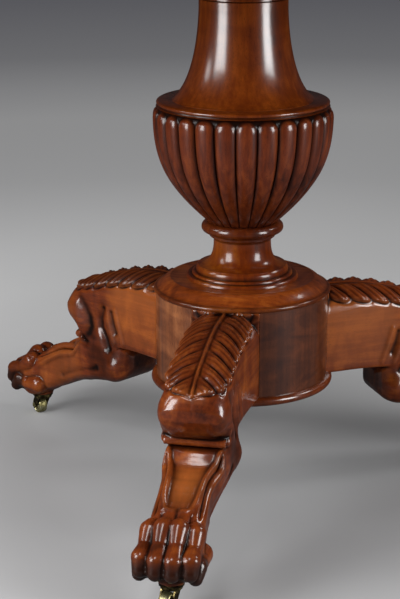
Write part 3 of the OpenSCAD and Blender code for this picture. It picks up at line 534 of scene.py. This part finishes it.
def mahogany(name, dark, mid, light, turn, figure=0.35, streak=0.4, coat=0.8, sides=0, haze=0.15, leaf_stain_and_shade=0.3):
    """French-polished mahogany: red-brown grain under a deep gloss, dark and dull in its hollows, and
    darker where a piece marks painted shade and paler where it marks painted light.

    turn is the rotation that brings the grain along X. figure and streak are the shares of cross
    figure and of streaks in the grain, coat is the strength of the polish and haze its blur. sides
    is how much paler painted light makes the plain sides of a leg, and leaf_stain_and_shade, the
    last, how much darker its leaf is drawn: a stain, set deeper on one leg as painted shade and
    left out on another as painted light."""
    material, tree, shader = new_material(name)
    place = add(tree, "TexCoord").outputs["Object"]
    grain = add(tree, "Mapping", {"Vector": place, "Rotation": Euler(turn)}).outputs["Vector"]

    def noise(scale, detail, warp):
        stretched = add(tree, "Mapping", {"Vector": grain, "Scale": scale}).outputs["Vector"]
        return add(tree, "TexNoise", {
            "Vector": stretched, "Scale": 1, "Detail": detail, "Distortion": warp,
        }).outputs["Fac"]

    def mix(a, b, share):
        return add(tree, "Mix", {0: share, 2: a, 3: b}).outputs[0]

    # Scales are in waves per metre along and across the grain: bands of 200 by 60 mm, streaks of
    # 110 by 6 mm, cross figure of 26 by 60 mm and pores of 6 by 0.7 mm. Real pores are finer, and
    # are drawn this coarse so that they show.
    broad = noise((5, 16, 16), 3, 0.6)
    lines = noise((9, 170, 170), 4, 0.3)
    cloud = noise((38, 16, 16), 3, 1.2)
    value = mix(mix(broad, lines, streak), cloud, figure)
    tone = add(tree, "ValToRGB", {"Fac": value}, stops=[
        (0.34, colour(dark)), (0.5, colour(mid)), (0.66, colour(light)),
    ]).outputs["Color"]
    pores = noise((160, 1500, 1500), 2, 0)
    pore = add(tree, "MapRange", {
        "Value": pores, "From Min": 0.58, "From Max": 0.7, "To Min": 0.0, "To Max": 0.55,
    }).outputs["Result"]
    toned = add(tree, "Mix", {0: pore, 6: tone, 7: colour("1c0a05")}, data_type="RGBA").outputs[2]
    # Darker on the leaf, the leg's root and the toe ends: a stain, drawn deeper on the left leg as painted
    # shade and left off the right leg as painted light.
    leaf = add(tree, "Attribute", attribute_name="leaf").outputs["Fac"]
    dark_leaf = add(tree, "Math", {0: leaf, 1: leaf_stain_and_shade}, operation="MULTIPLY").outputs[0]
    stain_light_and_shade = add(tree, "Mix", {0: dark_leaf, 6: toned, 7: colour("35150a")}, data_type="RGBA").outputs[2]
    # Painted light: paler on the shank's upward panel and, by the share sides, on the plain sides of a leg.
    panel_light = add(tree, "Attribute", attribute_name="panel_light").outputs["Fac"]
    flat = add(tree, "Attribute", attribute_name="flat").outputs["Fac"]
    pale = add(tree, "Math", {0: flat, 1: sides}, operation="MULTIPLY").outputs[0]
    pale = add(tree, "Math", {0: panel_light, 1: 0.44, 2: pale}, operation="MULTIPLY_ADD").outputs[0]
    # Raised points drawn paler: wear, and a painted highlight along the carving's ridges.
    raised = add(tree, "Attribute", attribute_name="raised").outputs["Fac"]
    pale = add(tree, "Math", {0: raised, 1: 0.16, 2: pale}, operation="MULTIPLY_ADD").outputs[0]
    stain_light_and_shade = add(tree, "Mix", {0: pale, 6: stain_light_and_shade, 7: colour("b4662e")}, data_type="RGBA").outputs[2]
    # Near black where a piece marks it: patina in hollows and inner corners, and painted shade where a piece
    # adds it.
    hollow = add(tree, "Attribute", attribute_name="hollow").outputs["Fac"]
    patinated_and_shaded = add(tree, "Mix", {0: hollow, 6: stain_light_and_shade, 7: colour("140704")}, data_type="RGBA").outputs[2]
    # Near black on the claws: a darker stain, and painted shade on the toes' low ends.
    claw = add(tree, "Attribute", attribute_name="claw").outputs["Fac"]
    dim = add(tree, "Math", {0: claw, 1: 0.9}, operation="MULTIPLY").outputs[0]
    base = add(tree, "Mix", {0: dim, 6: patinated_and_shaded, 7: colour("1f0f0a")}, data_type="RGBA").outputs[2]
    tree.links.new(base, shader.inputs["Base Color"])
    rough = add(tree, "MapRange", {
        "Value": value, "From Min": 0.3, "From Max": 0.7, "To Min": 0.42, "To Max": 0.28,
    }).outputs["Result"]
    tree.links.new(rough, shader.inputs["Roughness"])
    wood_bump = add(tree, "Bump", {"Height": lines, "Strength": 0.12, "Distance": 0.0004})
    # Hand polishing leaves the surface gently uneven, in waves about 22 mm long.
    wavy = add(tree, "TexNoise", {"Vector": place, "Scale": 45, "Detail": 1}).outputs["Fac"]
    bump = add(tree, "Bump", {
        "Height": wavy, "Strength": 0.12, "Distance": 0.002, "Normal": wood_bump.outputs["Normal"],
    }).outputs["Normal"]
    tree.links.new(bump, shader.inputs["Normal"])
    polish = add(tree, "Bump", {"Height": wavy, "Strength": 0.08, "Distance": 0.002})
    tree.links.new(polish.outputs["Normal"], shader.inputs["Coat Normal"])
    # The wood itself hardly shines. Shellac polish has an IOR of about 1.5, and 1.62 matches the
    # strength of the reflections on the table.
    shader.inputs["Specular IOR Level"].default_value = 0.08
    dull = add(tree, "Math", {0: leaf, 1: 0.1 + leaf_stain_and_shade, 2: hollow}, operation="MULTIPLY_ADD").outputs[0]
    dulled = add(tree, "MapRange", {"Value": dull, "To Min": coat, "To Max": 0.15 * coat}).outputs["Result"]
    tree.links.new(dulled, shader.inputs["Coat Weight"])
    shader.inputs["Coat Roughness"].default_value = haze
    shader.inputs["Coat IOR"].default_value = 1.62
    return material


for side, direction in LEG_DIRECTIONS.items():
    piece = leg.copy()
    piece.data = leg.data.copy()
    piece.name = piece.data.name = "carved_leg_" + side
    bpy.context.collection.objects.link(piece)
    piece.data.transform(Matrix.Rotation(math.radians(direction), 4, "Z"))
    along = (0, 0, -math.radians(direction))
    # The side legs draw their plain sides paler, painted light. The left leg's leaf is drawn darker, painted
    # shade, and the right leg's without its stain, painted light.
    sides = 0 if side == "front" else 0.32
    leaf_stain_and_shade = {"front": 0.3, "left": 0.72, "right": 0}[side]
    wood = mahogany(
        "polished_mahogany_leg_" + side, "341105", "672a0d", "964d1a", along, 0.3, coat=0.66,
        sides=sides, leaf_stain_and_shade=leaf_stain_and_shade
    )
    dress(piece, wood, "stand", "mahogany", "leg_" + side)
bpy.data.objects.remove(leg)


# Drum. A core of secondary wood is closed by a moulded base, a domed cap and three curved panels
# veneered with figured mahogany, one between each two legs. A wrought iron strap, screwed on from
# below, ties the legs to the core.

BASE_Z, CORE_Z, CAP_Z, STEPS_Z = 147, 158, 269, 288
PANEL_IN_R = 98
SLOT_HALF_W = 43.6
SOCLE_SOCKET_R = 30.2
UPRIGHT = (0, math.radians(90), 0)


def bezier(a, b, c, d, steps):
    t = np.linspace(0, 1, steps + 1)[:, None]
    curve = (
        np.array(a) * (1 - t) ** 3 + 3 * np.array(b) * (1 - t) ** 2 * t
        + 3 * np.array(c) * (1 - t) * t**2 + np.array(d) * t**3
    )
    return [tuple(p) for p in curve]


def arc(centre, r, start, end, steps):
    angles = np.radians(np.linspace(start, end, steps + 1))
    return [(centre[0] + r * math.cos(a), centre[1] + r * math.sin(a)) for a in angles]


column_wood = mahogany("polished_mahogany_turned", "3e1606", "602706", "7e3c0e", UPRIGHT, 0.2, 0.4, haze=0.19)
drum_base = lathe("drum_base_moulding", [
    (30, BASE_Z), (DRUM_R, BASE_Z), *arc((113.1, 152.5), 5.5, -90, 90, 12), (111.5, CORE_Z), (30, CORE_Z),
])
dress(drum_base, column_wood, "stand", "mahogany", "drum_base")
cap_wood = mahogany("polished_mahogany_cap", "451a08", "74330e", "99501b", (0, 0, 0), 0.3, 0.5, coat=0.6)
drum_cap = lathe("domed_drum_cap", [
    (SOCLE_SOCKET_R, CAP_Z), (112.5, CAP_Z), *arc((111.8, 272.6), 3.2, -70, 75, 10), (111.6, 275.8),
    *bezier((111, 275.9), (106, 277), (101, 287), (93, 288.4), 18),
    *bezier((92, 288.1), (88, 287.2), (78, 287), (73, 287.6), 8), (72, STEPS_Z),
    (SOCLE_SOCKET_R, STEPS_Z),
])
# The edge bead and the cap below it are drawn darker, with a duller polish.
for vertex, mark in zip(drum_cap.data.vertices, drum_cap.data.attributes["hollow"].data):
    if vertex.co.z < 276 * MM:
        mark.value = max(mark.value, 0.45)
dress(drum_cap, cap_wood, "stand", "mahogany", "drum_cap")
veneer = mahogany("figured_mahogany_veneer", "2d130c", "48220f", "653319", UPRIGHT, 0.5, 0.5)
# A paler copy of the veneer for the left panel: painted light where it is lit more.
lit_veneer = mahogany("mahogany_veneer_painted_lighter", "43200f", "724023", "9a5f38", UPRIGHT, 0.5, 0.5)
for side, start in {"left": 150, "right": -90, "back": 30}.items():
    panel = lathe(
        "drum_panel_veneered_" + side,
        [(PANEL_IN_R, CORE_Z), (DRUM_R, CORE_Z), (DRUM_R, CAP_Z), (PANEL_IN_R, CAP_Z)],
        turns=60, sweep=120, start=start,
    )
    for leg_at, keeps in ((start, 1), (start + 120, -1)):
        a = math.radians(leg_at + 90)
        normal = Vector((math.cos(a), math.sin(a), 0)) * keeps
        bpy.ops.object.mode_set(mode="EDIT")
        bpy.ops.mesh.select_all(action="SELECT")
        bpy.ops.mesh.bisect(
            plane_co=normal * SLOT_HALF_W * MM, plane_no=normal, use_fill=True, clear_inner=True
        )
        bpy.ops.object.mode_set(mode="OBJECT")
    bpy.ops.object.shade_smooth_by_angle(angle=SMOOTH_BELOW)
    wall_veneer = lit_veneer if side == "left" else veneer
    dress(panel, wall_veneer, "stand", "figured_veneer", "drum_panel_" + side)
plain_wood = mahogany("planed_secondary_wood", "5a3018", "8a5028", "b57a45", (0, 0, 0), 0.2, 0.5, coat=0)
paint(plain_wood, "drum_core")

# Wrought iron is black from the forge, with rust in patches about 5 mm across.
iron, tree, shader = new_material("wrought_iron")
place = add(tree, "TexCoord").outputs["Object"]
scale = add(tree, "TexNoise", {"Vector": place, "Scale": 220, "Detail": 5}).outputs["Fac"]
tone = add(tree, "ValToRGB", {"Fac": scale}, stops=[
    (0.4, colour("2b2826")), (0.58, colour("4a403a")), (0.7, colour("6e4630")),
]).outputs["Color"]
bump = add(tree, "Bump", {"Height": scale, "Strength": 0.4, "Distance": 0.0004}).outputs["Normal"]
tree.links.new(tone, shader.inputs["Base Color"])
tree.links.new(bump, shader.inputs["Normal"])
shader.inputs["Metallic"].default_value = 0.7
shader.inputs["Roughness"].default_value = 0.55
paint(iron, "iron_strap", "strap_screws", "base_screws")


# Column. Separate turnings are stacked on the drum and glued pin in socket: a ring of three steps,
# a hollow-sided socle, a torus collar, the gadrooned cup, the ring that closes it and the shaft.
# An iron rod with a nut and a washer at each end draws them together.

COLLAR_Z, CUP_Z, RIM_Z, SHAFT_Z, BLOCK_Z = 342, 361, 511, 519, 666
CUP_SOCKET_R, SHAFT_SOCKET_R, SHAFT_PIN_R, ROD_BORE_R = 24.3, 32.1, 32, 6.4
CUP_R, CUP_FOOT_R = 115, 44
LOBES = 26
LOBE_DEPTH = 6
step_wood = mahogany(
    "polished_mahogany_steps", "3a1406", "5f2405", "80400c", UPRIGHT, 0.2, 0.4, coat=0.5, haze=0.16
)
cup_wood = mahogany(
    "polished_mahogany_cup", "2e1007", "5c250f", "7c3a19", UPRIGHT, 0.12, 0.5, coat=0.62, haze=0.22
)
# A darker copy of the turned wood for the collar: painted shade where the cup shades it.
shaded_collar_wood = mahogany("polished_mahogany_collar_shaded", "2a0e05", "4a1b07", "68300e", UPRIGHT, 0.2, 0.4, coat=0.55)
step_ring = lathe("three_step_ring", [
    (SOCLE_SOCKET_R, STEPS_Z), (72.5, STEPS_Z), (72.3, 289.5), (71.7, 291), (70.6, 292), (65.2, 292.2),
    (65.1, 293.6), (64.5, 294.9), (63.6, 295.5), (59.8, 295.7), (59.6, 300), (58.9, 302.3),
    (57.3, 304), (SOCLE_SOCKET_R, 304),
])
dress(step_ring, step_wood, "stand", "mahogany", "step_ring")
socle = lathe("hollow_socle", [
    (CUP_SOCKET_R, 304), (57, 304), *bezier((57, 304.6), (36.7, 306), (37, 327.5), (37, 338), 24),
    (37.6, 339), (38.8, 340), (40.6, 341), (42, COLLAR_Z),
    (CUP_SOCKET_R, COLLAR_Z),
])
dress(socle, step_wood, "stand", "mahogany", "socle")
collar = lathe("torus_collar_ring", [
    (CUP_SOCKET_R, COLLAR_Z), (41.6, COLLAR_Z),
    *bezier((41.7, 343), (41.7, 345.5), (43, 347), (45.6, 347.2), 8),
    *bezier((46.2, 347.3), (50.5, 347.8), (53, 350.5), (52.8, 354.3), 12),
    *bezier((52.7, 355), (52.2, 358.8), (49.5, 360.8), (45, CUP_Z), 10), (CUP_SOCKET_R, CUP_Z),
])
dress(collar, shaded_collar_wood, "stand", "mahogany", "torus_collar")

# One lobe of the cup is shaped on a grid and then spun round in as many copies as there are lobes.
meridian = np.array(
    bezier((CUP_FOOT_R, CUP_Z), (100, 411), (CUP_R, 443), (CUP_R, 503.5), 60)
    + bezier((CUP_R, 503.5), (115.1, 506), (114, 509), (111, RIM_Z), 14)[1:]
)
across = np.sin(np.linspace(-1, 1, 19) * math.pi / 2)
bpy.ops.object.select_all(action="DESELECT")
bpy.ops.mesh.primitive_grid_add(x_subdivisions=len(across) - 1, y_subdivisions=len(meridian) - 1, size=1)
cup = bpy.context.object
cup.name = cup.data.name = "gadrooned_cup_carved"
hollow = []
for vertex, (v, u) in zip(cup.data.vertices, [(v, u) for v in range(len(meridian)) for u in across]):
    r, z = meridian[v]
    up = (z - CUP_Z) / (RIM_Z - CUP_Z)
    arch = max(0, 1 - (RIM_Z - 1.5 - z) / 13)
    bow = min(1, math.hypot(u, arch) if arch > 0 else abs(u))
    sink = 0.65 * bow**2.8 + 0.35 * (1 - math.sqrt(max(0, 1 - bow * bow)))
    r -= LOBE_DEPTH * min(1, 0.3 + 1.6 * up) * sink
    a = math.radians(-90 + u * 180 / LOBES)
    vertex.co = (r * MM * math.cos(a), r * MM * math.sin(a), z * MM)
    # Darker in the valleys between the lobes, and painted shade towards the cup's foot.
    hollow.append(max(0.35 * max(0, 1 - 2.2 * up), max(0, (bow - 0.62) / 0.38) ** 1.6))
keep(cup, "hollow", np.array(hollow))
bpy.ops.object.mode_set(mode="EDIT")
bpy.ops.mesh.select_all(action="SELECT")
bpy.ops.mesh.spin(steps=LOBES, angle=math.tau, dupli=True, center=(0, 0, 0), axis=(0, 0, 1))
bpy.ops.mesh.select_all(action="SELECT")
bpy.ops.mesh.remove_doubles(threshold=2e-5)
bpy.ops.mesh.select_all(action="DESELECT")
bpy.ops.mesh.select_non_manifold()
bpy.ops.mesh.edge_face_add()
bpy.ops.mesh.select_all(action="SELECT")
bpy.ops.mesh.normals_make_consistent(inside=False)
bpy.ops.object.mode_set(mode="OBJECT")
bpy.ops.object.shade_smooth_by_angle(angle=math.radians(50))
dress(cup, cup_wood, "stand", "mahogany", "gadrooned_cup")

cup_rim = lathe("cup_closing_ring", [
    (SHAFT_SOCKET_R, RIM_Z), (110.5, RIM_Z), (108.4, 512.1), (107.9, 513.4),
    *arc((107.6, 516.1), 2.3, -75, 60, 10), (108.1, 518.5), (107, SHAFT_Z), (SHAFT_SOCKET_R, SHAFT_Z),
])
dress(cup_rim, column_wood, "stand", "mahogany", "cup_rim")
shaft = lathe("flared_shaft", [
    (ROD_BORE_R, 471), (SHAFT_PIN_R, 471), (SHAFT_PIN_R, SHAFT_Z), (90, SHAFT_Z), (90.2, 519.5),
    (89.7, 520.2),
    *bezier((89.5, 520.3), (71.5, 534), (58.2, 573.1), (56, 632.9), 40), (56, 645),
    (55.2, 645.4), (54.8, 646), (55.2, 646.6), (57, 647), (57, 654), *arc((57.5, 658.5), 4.5, -90, 90, 12),
    (55, 663), (55, BLOCK_Z), (28, BLOCK_Z), (28, 692), (ROD_BORE_R, 692),
])
dress(shaft, column_wood, "stand", "mahogany", "column_shaft")
paint(iron, "tie_rod", "upper_washer", "upper_nut", "lower_washer", "lower_nut")


# Top. A round panel of mahogany in a moulded lipping of eight curved lengths of figured wood,
# screwed to two bearers that lie across the square block on the column's head.

TOP_Z, TOP_T, TOP_R = 722, 28, 525
LIPPING_IN_R, FIELD_R, EDGE_ROUND = 485, 484.9, 9
top_wood = mahogany("polished_mahogany_top", "4a1c0c", "7a3516", "a96330", (0, 0, 0), 0.45)
top = lathe("top_panel_polished", [
    (0, TOP_Z), (FIELD_R, TOP_Z), (FIELD_R, TOP_Z + TOP_T), (0, TOP_Z + TOP_T),
], turns=192)
dress(top, top_wood, "stand", "mahogany", "top_panel")
for i in range(8):
    length = lathe("lipping_length_%d" % (i + 1), [
        (LIPPING_IN_R, TOP_Z), (517, TOP_Z), (517, 727), (520.5, 727.6), (521, 728.2),
        *arc((TOP_R - EDGE_ROUND, 738), EDGE_ROUND, -60, 0, 8),
        *arc((TOP_R - EDGE_ROUND, 741), EDGE_ROUND, 0, 90, 12), (LIPPING_IN_R, TOP_Z + TOP_T),
    ], turns=24, sweep=44.98, start=i * 45 + 0.01)
    dress(length, veneer, "stand", "figured_veneer", "top_lipping")
block_wood = mahogany("polished_mahogany_block", "401608", "74300f", "a55a22", (0, 0, 0))
paint(block_wood, "pillar_block")
paint(plain_wood, "bearer_front", "bearer_back")
paint(iron, "block_screws", "top_screws")


# Studio. A seamless grey paper floor, two soft boxes on the left, one on the right, one high above
# the front and a small one high at the back on the right, all clear of the camera's view.

LENS = 107.133
CAMERA_AT = (0.44309, -2.18758, 0.9092)
CAMERA_PITCH, CAMERA_TURN, CAMERA_ROLL = 16.34505, 12.85623, -0.09268
PAPER_SIZE = 40
# Distance from the axis at which the paper's colour stops end
SHADE_SPAN = 10
LAMPS_AIM_AT = (0, 0, 0.35)

camera = bpy.data.objects.new("camera", bpy.data.cameras.new("camera"))
bpy.context.collection.objects.link(camera)
camera.data.lens = LENS
camera.data.sensor_width = 36
camera.matrix_world = (
    Matrix.Translation(CAMERA_AT)
    @ Matrix.Rotation(math.radians(CAMERA_TURN), 4, "Z")
    @ Matrix.Rotation(math.radians(90 - CAMERA_PITCH), 4, "X")
    @ Matrix.Rotation(math.radians(CAMERA_ROLL), 4, "Z")
)
bpy.context.scene.camera = camera
bpy.context.scene.view_settings.view_transform = "Standard"

bpy.ops.object.select_all(action="DESELECT")
bpy.ops.mesh.primitive_plane_add(size=PAPER_SIZE)
floor = bpy.context.object
floor.name = "paper_floor"
# The camera sees the matt paper with painted shadow and painted light: darkest under the table,
# palest a metre from it and darker to the right and far away, in its colour and in a glow graded by
# distance. What the paper throws back on the table is a plain dark grey.
paper, tree, shader = new_material("grey_paper")
place = add(tree, "TexCoord").outputs["Object"]
far = add(tree, "VectorMath", {0: place}, operation="LENGTH").outputs["Value"]
share = add(tree, "Math", {0: far, 1: SHADE_SPAN}, operation="DIVIDE").outputs[0]
shade = add(tree, "ValToRGB", {"Fac": share}, stops=[
    (0.03, colour("9c9c9d")), (0.1, colour("c1c1c1")), (0.2, colour("b3b3b4")), (0.9, colour("87878d")),
]).outputs["Color"]
across = add(tree, "SeparateXYZ", {"Vector": place}).outputs["X"]
away = add(tree, "MapRange", {
    "Value": across, "From Min": -0.17, "From Max": 0.45, "To Min": 0.0, "To Max": 0.28,
}).outputs["Result"]
shade = add(tree, "Mix", {0: away, 6: shade, 7: colour("000000")}, data_type="RGBA").outputs[2]
rays = add(tree, "LightPath").outputs
dim = add(tree, "Mix", {0: rays["Is Camera Ray"], 6: colour("5c5c5e"), 7: shade}, data_type="RGBA").outputs[2]
tree.links.new(dim, shader.inputs["Base Color"])
# A glow for the camera, graded by distance: painted light on the paper.
glow = add(tree, "ValToRGB", {"Fac": share}, stops=[
    (0.028, colour("2a2a2a")), (0.045, colour("565656")), (0.07, colour("707070")),
    (0.13, colour("747474")), (0.19, colour("6c6c6c")), (0.27, colour("767676")),
    (0.32, colour("6c6c6d")), (0.38, colour("5a5a5c")), (0.54, colour("4e4e52")),
    (0.9, colour("44444a")),
]).outputs["Color"]
tree.links.new(glow, shader.inputs["Emission Color"])
tree.links.new(rays["Is Camera Ray"], shader.inputs["Emission Strength"])
shader.inputs["Roughness"].default_value = 0.8
floor.data.materials.append(paper)

world = bpy.data.worlds.new("studio_air")
bpy.context.scene.world = world
world.use_nodes = True
tree = world.node_tree
seen = add(tree, "LightPath").outputs["Is Camera Ray"]
air = add(tree, "Mix", {0: seen, 6: colour("303033"), 7: colour("6c6c70")}, data_type="RGBA").outputs[2]
tree.links.new(air, tree.nodes["Background"].inputs["Color"])

# Each lamp: name, direction round the table in degrees, distance, height of its middle, width,
# height and radiance.
LAMPS = [
    ("left_front", -132, 1.9, 0.85, 0.8, 1.1, 14),
    ("left_side", -161, 1.9, 1.35, 0.4, 0.9, 8),
    ("right_front", -19, 1.9, 0.75, 0.65, 0.9, 17),
    ("high_front", -103, 1.35, 2.1, 0.5, 0.8, 11.5),
    ("back_right", 25, 1.9, 1.7, 0.5, 0.5, 15),
]
for name, direction, distance, height, wide, tall, radiance in LAMPS:
    data = bpy.data.lights.new(name, "AREA")
    data.shape = "RECTANGLE"
    data.size, data.size_y = wide, tall
    data.energy = radiance * math.pi * wide * tall
    lamp = bpy.data.objects.new(name, data)
    bpy.context.collection.objects.link(lamp)
    a = math.radians(direction)
    lamp.location = (distance * math.cos(a), distance * math.sin(a), height)
    aim = Vector(LAMPS_AIM_AT) - lamp.location
    lamp.rotation_mode = "QUATERNION"
    lamp.rotation_quaternion = aim.to_track_quat("-Z", "Y")
